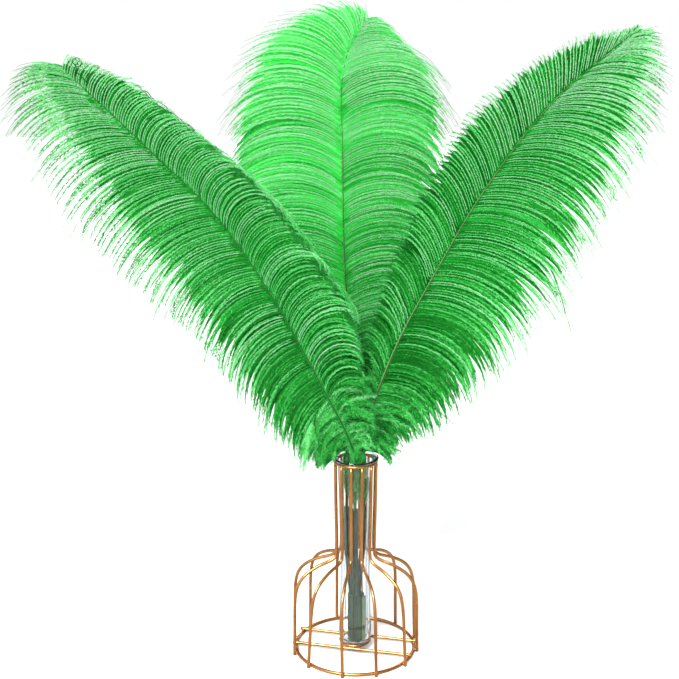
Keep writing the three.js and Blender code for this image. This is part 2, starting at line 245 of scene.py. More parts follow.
VANES = {
    ("left", "left"): {
        "front": 190, "back": 140, "fine": 74000, "loose": 26000, "fade": 2, "pull": 0.12, "stray": 2.2,
        "ragged": 0.06, "strand": (1.5, 2.4), "curl": 6, "web": (3.2, 4),
        "tones": ([0, 0.35, 1], [5, 13, 22]),
        "dark": ([0, 0.4, 1], [1, 3, 6]),
        "hair": ([0, 0.3, 0.6, 1], [4.5, 3.4, 1.8, 1.0]),
        "bare": ([0, 0.4, 0.75, 1], [0.97, 0.95, 0.76, 0.62]),
        "closed": ([0, 0.3, 0.6, 1], [0.93, 0.90, 0.72, 0.45]),
    },
    ("left", "right"): {
        "front": 185, "back": 130, "fine": 66000, "loose": 18000, "fade": -3, "pull": 0.06, "stray": 0.8,
        "ragged": 0.02, "strand": (1.2, 1.7), "curl": 45, "web": (3.2, 14),
        "tones": ([0, 0.3, 1], [7, 14, 23]),
        "dark": ([0, 0.4, 1], [1, 3, 6]),
        "hair": ([0, 1], [3.2, 2.2]),
        "bare": ([0, 1], [0.97, 0.95]),
        "closed": ([0, 0.9, 1], [0.97, 0.95, 0.4]),
    },
    ("middle", "left"): MIDDLE_VANE,
    ("middle", "right"): MIDDLE_VANE,
    ("right", "left"): {
        "front": 155, "back": 120, "fine": 50000, "loose": 16000, "fade": -7, "pull": 0.05, "stray": 0.8,
        "ragged": 0.02, "strand": (1.2, 1.7), "curl": 35, "web": (3.2, 14),
        "tones": ([0, 0.3, 1], [5, 14, 24]),
        "dark": ([0, 1], [1, 4]),
        "hair": ([0, 1], [3.2, 2.4]),
        "bare": ([0, 1], [0.97, 0.95]),
        "closed": ([0, 0.9, 1], [0.97, 0.95, 0.5]),
    },
    ("right", "right"): {
        "front": 188, "back": 145, "fine": 80000, "loose": 30000, "fade": 3, "pull": 0.12, "stray": 2.2,
        "ragged": 0.06, "strand": (1.5, 2.4), "curl": 6, "web": (3.4, 4),
        "tones": ([0, 0.35, 1], [4, 13, 22.5]),
        "dark": ([0, 1], [2, 5]),
        "hair": ([0, 0.4, 1], [4.2, 3.2, 1.5]),
        "bare": ([0, 0.5, 1], [0.97, 0.95, 0.82]),
        "closed": ([0, 0.3, 0.6, 1], [0.95, 0.92, 0.86, 0.70]),
    },
}


# ======== Shapes ========


def smooth_line(points, per=24):
    """The centripetal Catmull-Rom curve through the points, `per` steps to each stretch. Each stretch is
    the cubic c0 + c1 t + c2 t^2 + c3 t^3 whose end slopes follow the neighbours, spaced by the square root
    of their distances."""
    p = np.asarray(points, float)
    q = np.vstack([2 * p[0] - p[1], p, 2 * p[-1] - p[-2]])
    p0, p1, p2, p3 = q[:-3], q[1:-2], q[2:-1], q[3:]
    gap = [np.sqrt(np.linalg.norm(b - a, axis=1))[:, None] for a, b in ((p0, p1), (p1, p2), (p2, p3))]
    slope = lambda a, b, c, d, e: (b - a) / d - (c - a) / (d + e) + (c - b) / e
    s1 = slope(p0, p1, p2, gap[0], gap[1]) * gap[1]
    s2 = slope(p1, p2, p3, gap[1], gap[2]) * gap[1]
    t = np.linspace(0, 1, per, endpoint=False)[None, :, None]
    c2 = -3 * p1 + 3 * p2 - 2 * s1 - s2
    c3 = 2 * p1 - 2 * p2 + s1 + s2
    line = p1[:, None] + s1[:, None] * t + c2[:, None] * t**2 + c3[:, None] * t**3
    return np.vstack([line.reshape(-1, p.shape[1]), p[-1:]])


def along(line):
    """Length from the start to each point of a line."""
    return np.concatenate([[0], np.cumsum(np.linalg.norm(np.diff(line, axis=0), axis=1))])


def read_line(line, lengths):
    """Points of a line at the given lengths from its start."""
    s = along(line)
    return np.stack([np.interp(lengths, s, line[:, k]) for k in range(3)], -1)


def unit(v):
    """Vectors over their own lengths."""
    return v / np.maximum(np.linalg.norm(v, axis=-1, keepdims=True), 1e-9)


def headings(line):
    """Unit direction of travel at each point of each line; lines run along the last axis but one."""
    return unit(np.gradient(line, axis=-2))


def heading_at(line, lengths):
    """Unit direction of travel at the given lengths from a line's start, over a millimetre."""
    return unit(read_line(line, lengths + 0.5) - read_line(line, lengths - 0.5))


def put(name, points, faces, uv, material, slot, nodes=(), shade_smooth=True, uv_name="UVMap"):
    """Makes a mesh piece from arrays. points: millimetres. faces: arrays whose rows are point numbers.
    uv: one array for each array of faces, with a pair for each corner."""
    mesh = bpy.data.meshes.new(name)
    corners = np.concatenate([f.ravel() for f in faces]).astype(np.int32)
    sizes = np.concatenate([np.full(len(f), f.shape[1]) for f in faces])
    mesh.vertices.add(len(points))
    mesh.vertices.foreach_set("co", (np.asarray(points) * MM).astype(np.float32).ravel())
    mesh.loops.add(len(corners))
    mesh.loops.foreach_set("vertex_index", corners)
    mesh.polygons.add(len(sizes))
    mesh.polygons.foreach_set("loop_start", (np.cumsum(sizes) - sizes).astype(np.int32))
    mesh.polygons.foreach_set("use_smooth", np.full(len(sizes), shade_smooth))
    layer = mesh.uv_layers.new(name=uv_name)
    layer.data.foreach_set("uv", np.concatenate([u.reshape(-1, 2) for u in uv]).astype(np.float32).ravel())
    mesh.update(calc_edges=True)
    mesh.materials.append(material)
    piece = bpy.data.objects.new(name, mesh)
    bpy.context.scene.collection.objects.link(piece)
    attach(piece, "root")
    if nodes:
        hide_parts(*nodes)


def in_map(*corners):
    """Faces in the map, from u and v for each of their corners."""
    return np.stack([np.stack(np.broadcast_arrays(u, v), -1) for u, v in corners], -2)


def quads_in_map(u0, u1, v0, v1):
    """Quads in the map that reach from u0 to u1 and from v0 to v1."""
    return in_map((u0, v0), (u1, v0), (u1, v1), (u0, v1)).reshape(-1, 4, 2)


def tube_faces(rings, sides):
    """Quads and their map places for rings of points joined one to the next, each ring closed on itself."""
    r, k = np.meshgrid(np.arange(rings - 1), np.arange(sides), indexing="ij")
    n = (k + 1) % sides
    quads = np.stack([r * sides + k, r * sides + n, (r + 1) * sides + n, (r + 1) * sides + k], -1)
    u, v = k / sides, r / (rings - 1)
    return quads.reshape(-1, 4), quads_in_map(u, u + 1 / sides, v, v + 1 / (rings - 1))


def cap_faces(ring, centre, flip):
    """Triangles from a ring of point numbers to a centre point."""
    a, b = ring, np.roll(ring, -1)
    middle = np.full_like(a, centre)
    rows = np.stack([b, a, middle] if flip else [a, b, middle], -1)
    return rows, np.full((len(a), 3, 2), 0.5) + np.array([[0, 0], [0.01, 0], [0, 0.01]])


def capped(points, sides, foot, head):
    """Rings of `sides` points joined one to the next, and closed at the first and the last ring with fans to
    the points foot and head."""
    n = len(points)
    quads, uv = tube_faces(n // sides, sides)
    low, low_uv = cap_faces(np.arange(sides), n, True)
    high, high_uv = cap_faces(np.arange(n - sides, n), n + 1, False)
    faces = [quads, np.vstack([low, high])]
    return np.vstack([points, [foot, head]]), faces, [uv, np.concatenate([low_uv, high_uv])]


def each_corner(size, rings, sides):
    """A number, one per ring, or one per ring and side, as one per ring and side."""
    size = np.asarray(size, float)
    return size if size.ndim == 2 else np.broadcast_to(size, (sides, rings)).T


def carried(line, ref, across, outwards, sides):
    """A closed tube: an ellipse carried along a line. Point k of a ring is
    line + across * cos(2 pi k / sides) * A + outwards * sin(2 pi k / sides) * B, where A is ref x heading
    and B is heading x A. across and outwards may be numbers, one per ring, or one per ring and side."""
    t = headings(line)
    a = unit(np.cross(ref, t))
    b = unit(np.cross(t, a))
    angle = 2 * np.pi * np.arange(sides) / sides
    wide = each_corner(across, len(line), sides)
    deep = each_corner(outwards, len(line), sides)
    rings = (line[:, None] + a[:, None] * (wide * np.cos(angle))[..., None]
             + b[:, None] * (deep * np.sin(angle))[..., None])
    return capped(rings.reshape(-1, 3), sides, line[0], line[-1])


def lathed(line, steps, ripple=0):
    """The points of a line of (radius, height) spun round the axis, ring by ring: x = r cos a, y = r sin a.
    ripple adds to the radius, one number for each point of the line and each step."""
    angle = 2 * np.pi * np.arange(steps) / steps
    r = np.broadcast_to(line[:, :1] + ripple, (len(line), steps))
    z = np.broadcast_to(line[:, 1:], (len(line), steps))
    return np.stack([r * np.cos(angle), r * np.sin(angle), z], -1).reshape(-1, 3)


def closed_ring(radius, height, wire_r, steps=96, sides=14):
    """A ring of round wire: r = radius + wire_r cos b, z = height + wire_r sin b."""
    b = 2 * np.pi * np.arange(sides + 1) / sides
    line = np.stack([radius + wire_r * np.cos(b), height + wire_r * np.sin(b)], -1)
    points = lathed(line, steps)
    quads, uv = tube_faces(sides + 1, steps)
    seam = np.arange(len(points))
    seam[-steps:] = np.arange(steps)  # the last ring is the first one again
    return points[:-steps], [seam[quads]], [uv]


def bead(centre, size, steps=14, rows=9):
    """A weld: an ellipsoid, centre + size * (cos a sin b, sin a sin b, cos b), from its foot up."""
    near_pole = 0.12
    b = np.linspace(np.pi - near_pole, near_pole, rows)
    ball = lathed(np.stack([np.sin(b), np.cos(b)], -1), steps)
    pole = np.array([0, 0, 1])
    return capped(centre + ball * size, steps, centre - pole * size, centre + pole * size)


def joined(*shapes):
    """Several shapes as one; each is its points, faces and uv."""
    points, faces, uv, start = [], [], [], 0
    for p, f, u in shapes:
        points.append(p)
        faces += [rows + start for rows in f]
        uv += u
        start += len(p)
    return np.vstack(points), faces, uv


# ======== Finishes ========


def add(tree, kind, inputs=None, **settings):
    """A node with its settings and then its inputs; an input is a value or another node's output."""
    made = tree.nodes.new(kind)
    for key, value in settings.items():
        setattr(made, key, value)
    for key, value in (inputs or {}).items():
        socket = made.inputs[key]
        if isinstance(value, bpy.types.NodeSocket):
            tree.links.new(value, socket)
        else:
            socket.default_value = value
    return made


def math_of(tree, operation, *values):
    """The outcome of a Math node."""
    return add(tree, "ShaderNodeMath", dict(enumerate(values)), operation=operation).outputs[0]


def times(tree, value, factor):
    """A value made smaller or larger by a factor."""
    return math_of(tree, "MULTIPLY", value, factor)


def ranged(tree, value, low, high, to_low=0.0, to_high=1.0):
    """What lies from low to high, read as from to_low to to_high, and held there beyond."""
    return add(tree, "ShaderNodeMapRange", {
        "Value": value, "From Min": low, "From Max": high, "To Min": to_low, "To Max": to_high}).outputs[0]


def object_place(tree):
    """Each point's own place, in metres from the origin."""
    return add(tree, "ShaderNodeTexCoord").outputs["Object"]


def bumped(tree, height, strength, distance):
    """A normal that follows a height from 0 to 1."""
    given = {"Strength": strength, "Distance": distance, "Height": height}
    return add(tree, "ShaderNodeBump", given).outputs[0]


def map_place(tree, uv_name):
    """U and V of a piece's own map."""
    place = add(tree, "ShaderNodeUVMap", uv_map=uv_name).outputs[0]
    return add(tree, "ShaderNodeSeparateXYZ", {0: place}).outputs[:2]


def ramp(tree, factor, stops):
    """Colours at positions from 0 to 1."""
    made = add(tree, "ShaderNodeValToRGB", {"Fac": factor})
    elements = made.color_ramp.elements
    while len(elements) < len(stops):
        elements.new(0.5)
    for element, (place, colour) in zip(elements, stops):
        element.position = place
        element.color = (*colour, 1)
    return made.outputs["Color"]


def mixed(tree, factor, one, two):
    """One colour where the factor is 0 and another where it is 1."""
    made = add(tree, "ShaderNodeMix", {"Factor": factor}, data_type="RGBA")
    for socket, value in ((made.inputs[6], one), (made.inputs[7], two)):
        if isinstance(value, bpy.types.NodeSocket):
            tree.links.new(value, socket)
        else:
            socket.default_value = (*value, 1)
    return made.outputs[2]


def finish_of(name):
    """An empty node material and its output node."""
    made = bpy.data.materials.new(name)
    made.use_nodes = True
    made.node_tree.nodes.clear()
    return made, made.node_tree, add(made.node_tree, "ShaderNodeOutputMaterial")


def skinned(tree, out, colour, roughness, **more):
    """The material's own Principled shader, run to its output. In more, _ stands for a space."""
    inputs = {key.replace("_", " "): value for key, value in more.items()}
    skin = add(tree, "ShaderNodeBsdfPrincipled", {"Base Color": colour, "Roughness": roughness, **inputs})
    tree.links.new(skin.outputs[0], out.inputs[0])


def new_group(name, inputs, outputs):
    """An empty shader node group with the named sockets, and its input and output nodes' sockets."""
    group = bpy.data.node_groups.new(name, "ShaderNodeTree")
    for way, sockets in (("INPUT", inputs), ("OUTPUT", outputs)):
        for key, kind in sockets.items():
            group.interface.new_socket(key, in_out=way, socket_type="NodeSocket" + kind)
    return group, group.nodes.new("NodeGroupInput").outputs, group.nodes.new("NodeGroupOutput").inputs


def mottle_group():
    """Patches from 0 to 1 over a surface, with their own contrast."""
    inputs = {"Vector": "Vector", "Scale": "Float", "Stretch": "Vector", "Low": "Float", "High": "Float"}
    tree, given, kept = new_group("mottle", inputs, {"Value": "Float"})
    both = {0: given["Vector"], 1: given["Stretch"]}
    place = add(tree, "ShaderNodeVectorMath", both, operation="MULTIPLY").outputs[0]
    noise = add(tree, "ShaderNodeTexNoise",
                {"Vector": place, "Scale": given["Scale"], "Detail": 4.0, "Roughness": 0.6})
    tree.links.new(ranged(tree, noise.outputs["Fac"], given["Low"], given["High"]), kept["Value"])
    return tree


MOTTLE = mottle_group()


def mottled(tree, vector, scale, stretch, low, high):
    """Patches at a scale per metre, drawn out by stretch; noise from low to high gives 0 to 1."""
    return add(tree, "ShaderNodeGroup", {
        "Vector": vector, "Scale": scale, "Stretch": stretch, "Low": low, "High": high},
        node_tree=MOTTLE).outputs["Value"]


def placed(tree, group, links, colours):
    """A group in a material's tree, with what runs into it and its own colours."""
    given = {**links, **{key: (*colour, 1) for key, colour in colours.items()}}
    return add(tree, "ShaderNodeGroup", given, node_tree=group).outputs


def crepe_group():
    """Waxed crepe floral tape: fine creases along the stem, with painted shade in them, patches of wear,
    green dye rubbed into it and a water stain round it at STAIN_Z, which fades from 1 to 4 mm off."""
    inputs = {"Vector": "Vector", "Dark": "Color", "Pale": "Color", "Moss": "Color"}
    tree, given, kept = new_group("crepe_tape", inputs, {"Color": "Color", "Height": "Float"})
    place = given["Vector"]
    crepe = mottled(tree, place, 330, (1, 1, 0.06), 0.42, 0.60)
    wear = mottled(tree, place, 160, (1, 1, 0.5), 0.4, 0.68)
    dye = mottled(tree, place, 90, (1, 1, 0.35), 0.48, 0.72)
    # Dark is painted shade, strongest where the crease height is lowest.
    colour = mixed(tree, times(tree, crepe, 0.7), given["Dark"], given["Pale"])
    colour = mixed(tree, times(tree, wear, 0.35), colour, given["Pale"])
    colour = mixed(tree, times(tree, dye, 0.6), colour, given["Moss"])
    height = add(tree, "ShaderNodeSeparateXYZ", {0: place}).outputs[2]
    near = math_of(tree, "ABSOLUTE", math_of(tree, "SUBTRACT", height, STAIN_Z * MM))
    stain = ranged(tree, near, 1 * MM, 4 * MM, 0.75, 0.0)
    tree.links.new(mixed(tree, stain, colour, (0.02, 0.035, 0.012)), kept["Color"])
    tree.links.new(crepe, kept["Height"])
    return tree


def quill_group():
    """Dyed quill: painted shade in the groove on the side that faces out (where Round, the way round from 0
    to 1, is near 0.75), an edge on both its sides, horn on the rest and streaks along it."""
    inputs = {"Round": "Float", "Vector": "Vector", "Horn": "Color", "Groove": "Color", "Edge": "Color"}
    tree, given, kept = new_group("dyed_quill", inputs, {"Color": "Color", "Height": "Float"})
    off = math_of(tree, "ABSOLUTE", math_of(tree, "SUBTRACT", given["Round"], 0.75))
    # Groove is painted shade in the groove.
    band = mixed(tree, ranged(tree, off, 0.08, 0.125), given["Groove"], given["Edge"])
    band = mixed(tree, ranged(tree, off, 0.125, 0.25), band, given["Horn"])
    streak = mottled(tree, given["Vector"], 900, (1, 1, 0.12), 0.3, 0.7)
    colour = mixed(tree, times(tree, streak, 0.35), band, given["Groove"])
    tree.links.new(colour, kept["Color"])
    tree.links.new(streak, kept["Height"])
    return tree


CREPE, QUILL = crepe_group(), quill_group()


def dyed_barb_finish():
    """Dyed barbs. The map's U is the tone in TONES columns; inside a column lie the barb's core, its
    barbules from root to tip, painted from shade at the root to a highlight at the tip, and the webs, which
    carry patches of painted shade. V runs from the shaft to the barb's tip, which is a little duller."""
    made, tree, out = finish_of("dyed_barbs")
    u, v = map_place(tree, "OFBake")
    column = times(tree, u, TONES)
    tone = math_of(tree, "DIVIDE", math_of(tree, "FLOOR", column), TONES)
    inside = math_of(tree, "FRACT", column)
    fuzz = ramp(tree, tone, [
        (0.0, (0.0006, 0.085, 0.004)), (0.25, (0.002, 0.30, 0.014)), (0.5, (0.020, 0.70, 0.058)),
        (0.72, (0.21, 0.97, 0.30)), (1.0, (0.60, 1.0, 0.65))])
    # deep is painted shade at the barbules' roots and pale a painted highlight at their tips; lit runs from
    # one to the other.
    deep = mixed(tree, 0.12, fuzz, (0.001, 0.16, 0.006))
    pale = mixed(tree, times(tree, tone, 0.5), fuzz, (0.42, 1.0, 0.48))
    lit = mixed(tree, ranged(tree, inside, 0.38, BARBULE_PART[1]), deep, pale)
    is_web = math_of(tree, "COMPARE", inside, 0.55, 0.14)
    # Patches of painted shade on the webs.
    web_shade = times(tree, mottled(tree, object_place(tree), 700, (1, 1, 1), 0.38, 0.62), is_web)
    lit = mixed(tree, times(tree, web_shade, 0.20), lit, (0.002, 0.14, 0.008))
    core = mixed(tree, 0.55, fuzz, (0.002, 0.12, 0.010))
    colour = mixed(tree, math_of(tree, "LESS_THAN", inside, CORE_PART), lit, core)
    dull = times(tree, ranged(tree, v, 0.78, 1.0), 0.45)
    colour = mixed(tree, dull, colour, (0.03, 0.20, 0.06))
    skin = add(tree, "ShaderNodeBsdfPrincipled", {
        "Base Color": colour, "Roughness": ranged(tree, tone, 0, 1, 0.62, 0.48), "Specular IOR Level": 0.08})
    through = add(tree, "ShaderNodeBsdfTranslucent", {"Color": colour})
    both = add(tree, "ShaderNodeMixShader", {0: 0.38, 1: skin.outputs[0], 2: through.outputs[0]})
    tree.links.new(both.outputs[0], out.inputs[0])
    return made


def shaft_finish(name, horn, groove, edge):
    """A plume's own colour of dyed quill."""
    made, tree, out = finish_of(name)
    quill = placed(tree, QUILL, {"Round": map_place(tree, "UVMap")[0], "Vector": object_place(tree)},
                   {"Horn": horn, "Groove": groove, "Edge": edge})
    skinned(tree, out, quill["Color"], 0.42, Specular_IOR_Level=0.2,
            Normal=bumped(tree, quill["Height"], 0.25, 0.2 * MM))
    return made


def tape_finish(name, dark, pale, moss):
    """Floral tape: painted shade in its creases, pale where it is worn, moss where dye has rubbed off on it.
    """
    made, tree, out = finish_of(name)
    crepe = placed(tree, CREPE, {"Vector": object_place(tree)}, {"Dark": dark, "Pale": pale, "Moss": moss})
    skinned(tree, out, crepe["Color"], 0.6, Specular_IOR_Level=0.2,
            Normal=bumped(tree, crepe["Height"], 0.5, 0.3 * MM))
    return made


def gold_finish():
    """Gold lacquer on steel wire: copper where it is thin, brighter where it is thick, with a clear coat."""
    made, tree, out = finish_of("gold_lacquer")
    place = object_place(tree)
    thin = mottled(tree, place, 45, (1, 1, 0.45), 0.42, 0.62)
    fine = mottled(tree, place, 600, (1, 1, 0.3), 0.3, 0.7)
    colour = mixed(tree, times(tree, thin, 0.75), (0.60, 0.255, 0.045), (0.33, 0.105, 0.017))
    colour = mixed(tree, times(tree, fine, 0.25), colour, (0.76, 0.42, 0.13))
    skinned(tree, out, colour, ranged(tree, fine, 0, 1, 0.16, 0.28), Metallic=0.9, Coat_Weight=0.8,
            Coat_Roughness=0.08, Normal=bumped(tree, fine, 0.12, 0.2 * MM))
    return made


def glass_finish():
    """Clear soda glass, with the faint waviness of a blown tube. It looks bluer at its edges, where it is
    seen through a greater depth of glass."""
    made, tree, out = finish_of("clear_tube_glass")
    wave = mottled(tree, object_place(tree), 28, (1, 1, 0.3), 0.2, 0.8)
    facing = add(tree, "ShaderNodeLayerWeight", {"Blend": 0.5}).outputs["Facing"]
    colour = mixed(tree, ranged(tree, facing, 0.32, 0.62), (0.97, 0.99, 0.985), (0.24, 0.34, 0.40))
    skinned(tree, out, colour, 0.0, IOR=1.5, Specular_IOR_Level=0.2, Transmission_Weight=1.0,
            Normal=bumped(tree, wave, 0.12, 0.6 * MM))
    return made


def floor_finish():
    """A pale floor, which gold and glass mirror as grey, as if grey card lay round the vase."""
    made, tree, out = finish_of("pale_floor")
    grain = mottled(tree, object_place(tree), 30, (1, 1, 1), 0.35, 0.65)
    colour = mixed(tree, grain, (0.90, 0.90, 0.90), (0.93, 0.93, 0.93))
    seen = add(tree, "ShaderNodeLightPath").outputs
    mirrored = math_of(tree, "SUBTRACT", seen["Is Glossy Ray"], seen["Is Transmission Ray"])
    colour = mixed(tree, mirrored, colour, (0.36, 0.33, 0.30))
    skinned(tree, out, colour, 0.9, Specular_IOR_Level=0.1)
    return made


# ======== Camera, floor and light ========


def set_camera():
    """A camera a metre in front, looking down a little."""
    lens = bpy.data.cameras.new("camera")
    lens.lens, lens.sensor_width = CAMERA_LENS, SENSOR_WIDTH
    lens.clip_start, lens.clip_end = 0.05, 50
    camera = bpy.data.objects.new("camera", lens)
    camera.location = Vector(CAMERA_AT) * MM
    camera.rotation_euler = Vector(CAMERA_LOOKS).to_track_quat("-Z", "Y").to_euler()
    bpy.context.scene.collection.objects.link(camera)
    bpy.context.scene.camera = camera


def set_floor():
    """A plain square of floor."""
    mesh = bpy.data.meshes.new("floor")
    corners = [(FLOOR_HALF * x, FLOOR_HALF * y, 0) for x, y in ((-1, -1), (1, -1), (1, 1), (-1, 1))]
    mesh.from_pydata(corners, [], [(0, 1, 2, 3)])
    mesh.materials.append(floor_finish())
    floor = bpy.data.objects.new("floor", mesh)
    bpy.context.scene.collection.objects.link(floor)


def set_lamp(name, light, at, towards):
    """A lamp at a place, turned towards another."""
    lamp = bpy.data.objects.new(name, light)
    lamp.location = at
    lamp.rotation_euler = (Vector(towards) - Vector(at)).to_track_quat("-Z", "Y").to_euler()
    bpy.context.scene.collection.objects.link(lamp)


def area_lamp(name, at, size, power):
    """A square lamp that faces the middle of the plumes."""
    light = bpy.data.lights.new(name, "AREA")
    light.size, light.energy = size, power
    set_lamp(name, light, at, LAMPS_LOOK_AT)


def sun(name, at, strength, spread):
    """Even light over the whole floor from one side, as from a very large soft box."""
    light = bpy.data.lights.new(name, "SUN")
    light.energy, light.angle = strength, math.radians(spread)
    set_lamp(name, light, at, (0, 0, 0))


def set_world():
    """A white studio. What gold and glass reflect is a bright soft box ahead and to the left, a grey wall
    round it and dark sides and back. What is seen through glass is greyer to the sides, which draws its
    edges."""
    world = bpy.data.worlds.new("studio")
    bpy.context.scene.world = world
    world.use_nodes = True
    tree = world.node_tree
    tree.nodes.clear()
    way = add(tree, "ShaderNodeTexCoord").outputs["Generated"]
    flat = add(tree, "ShaderNodeVectorMath", {0: way, 1: (1, 1, 0)}, operation="MULTIPLY")
    flat = add(tree, "ShaderNodeVectorMath", {0: flat.outputs[0]}, operation="NORMALIZE").outputs[0]
    to_box = add(tree, "ShaderNodeVectorMath", {0: flat, 1: SOFT_BOX_WAY}, operation="DOT_PRODUCT")
    box = ramp(tree, math_of(tree, "MULTIPLY_ADD", to_box.outputs["Value"], 0.5, 0.5),
               [(0.30, (0.08, 0.08, 0.08)), (0.62, (0.35, 0.35, 0.35)), (0.86, (0.55, 0.55, 0.55)),
                (0.95, (1.0, 1.0, 1.0))])
    shine = times(tree, box, SOFT_BOX_SHINE)
    grey = add(tree, "ShaderNodeCombineColor", {"Red": shine, "Green": shine, "Blue": shine}).outputs[0]
    side = math_of(tree, "ABSOLUTE", add(tree, "ShaderNodeSeparateXYZ", {0: flat}).outputs[0])
    through = ramp(tree, side, [
        (0.35, (1.0, 1.0, 1.0)), (0.6, (0.62, 0.70, 0.75)), (0.95, (0.35, 0.42, 0.46))])
    seen = add(tree, "ShaderNodeLightPath").outputs
    bent = mixed(tree, seen["Is Transmission Ray"], grey, through)
    colour = mixed(tree, seen["Is Glossy Ray"], (0.95, 0.95, 0.95), bent)
    colour = mixed(tree, seen["Is Camera Ray"], colour, (1.0, 1.0, 1.0))
    back = add(tree, "ShaderNodeBackground", {"Color": colour})
    tree.links.new(back.outputs[0], add(tree, "ShaderNodeOutputWorld").inputs[0])


set_camera()
set_floor()
set_world()
sun("soft_box", at=(-1.0, -1.6, 2.0), strength=3.9, spread=30)
area_lamp("key", at=(-1.1, -1.5, 1.7), size=0.8, power=16)
area_lamp("rim", at=(0.9, 1.4, 1.4), size=1.0, power=8)
bpy.context.scene.view_settings.view_transform = "Standard"


# ======== Vase ========


def round_axis(degrees):
    """The unit vectors away from the axis and along the circle at an angle."""
    a = math.radians(degrees)
    return np.array([math.cos(a), math.sin(a), 0]), np.array([-math.sin(a), math.cos(a), 0])


def make_hoops(gold):
    """The three rings of round wire."""
    put("base_hoop", *closed_ring(*BASE_RING, WIRE_R), gold, "gold_wire", ["base_ring"])
    put("neck_hoop", *closed_ring(*TOP_RING, WIRE_R * 0.8), gold, "gold_wire", ["top_ring"])
    put("seat_hoop", *closed_ring(*SEAT_RING, SEAT_WIRE_R), gold, "gold_wire", ["seat_ring"])


def make_uprights(gold):
    """Twelve wires on one bent line, radius and height, each turned about the axis towards its foot by
    FOOT_TURNS * (1 - z / FOOT_TURN_TOP_Z), with a weld at its foot and one at its head."""
    line = smooth_line([(r, 0, z) for r, z in UPRIGHT_LINE], 10)
    foot_in = FOOT_WELD[0] / UPRIGHT_LINE[0][0]
    for i in range(UPRIGHTS):
        degrees = FIRST_UPRIGHT_DEG + 360 * i / UPRIGHTS
        out, square = round_axis(degrees)
        lean = np.radians(FOOT_TURNS[i]) * np.maximum(0, 1 - line[:, 2] / FOOT_TURN_TOP_Z)
        angle = math.radians(degrees) + lean
        turned = np.stack([line[:, 0] * np.cos(angle), line[:, 0] * np.sin(angle), line[:, 2]], -1)
        wire = carried(turned, square, WIRE_R, WIRE_R, 12)
        weld_foot = bead(turned[0] * (foot_in, foot_in, 0) + (0, 0, FOOT_WELD[1]), (1.3, 1.3, 1.5))
        weld_head = bead(out * NECK_WELD[0] + (0, 0, NECK_WELD[1]), (1.45, 1.45, 1.0))
        put(f"upright_{i + 1:02d}", *joined(wire, weld_foot, weld_head), gold, "gold_wire",
            [f"upright_wire_{i + 1:02d}"])


def make_crossbars(gold):
    """Two straight rods across the base ring, BAR_OFFSET to both sides of the axis, welded at their ends."""
    ahead, aside = round_axis(BAR_DEG)
    for name, sign in (("crossbar_back", 1), ("crossbar_front", -1)):
        length = np.linspace(-BAR_HALF_LENGTH, BAR_HALF_LENGTH, 60)[:, None] * ahead
        line = length + aside * sign * BAR_OFFSET + (0, 0, BAR_Z)
        rod = carried(line, np.array([0.0, 0, 1]), BAR_WIRE_R, BAR_WIRE_R, 12)
        ends = line[[0, -1]] * (BAR_WELD_IN, BAR_WELD_IN, 1) - (0, 0, 1.4)
        welds = [bead(end, (1.5, 1.5, 1.1)) for end in ends]
        put(name + "_rod", *joined(rod, *welds), gold, "gold_wire", [name])


def make_tube():
    """The glass: TUBE_LINE, smoothed, spun round the axis."""
    foot, well = TUBE_LINE[0][1], TUBE_LINE[-1][1]
    skin = np.vstack([[AXIS_R, foot], smooth_line(TUBE_LINE[1:-1], 6), [AXIS_R, well]])
    vial = capped(lathed(skin, TUBE_STEPS), TUBE_STEPS, (0, 0, foot), (0, 0, well))
    put("glass_vial", *vial, glass_finish(), "clear_glass", ["glass_tube"])


# ======== Stems ========


def stem_of(plume):
    """The smooth line of a plume's quill and shaft, and the direction square to its plane."""
    return smooth_line(plume["stem"], 60), unit(np.array([0, 1, -plume["back"]], float))


def make_sleeves(tape):
    """A sleeve of tape on each quill, TAPE_R + TAPE_LAP t^3 in radius, where t runs from 0 to 1 over each
    turn of a spiral with the pitch TAPE_PITCH."""
    sides = 20
    for name, plume in PLUMES.items():
        line, square = stem_of(plume)
        taped = line[line[:, 2] <= TAPE_TOP_Z]
        stops = np.linspace(0, along(taped)[-1], 170)
        turn = (stops[:, None] / TAPE_PITCH - np.arange(sides) / sides) % 1.0
        radius = TAPE_R + TAPE_LAP * turn**3
        sleeve = carried(read_line(taped, stops), square, radius, radius, sides)
        put(f"wrapped_stem_{name}", *sleeve, tape, "floral_tape", [f"stem_tape_{name}"])


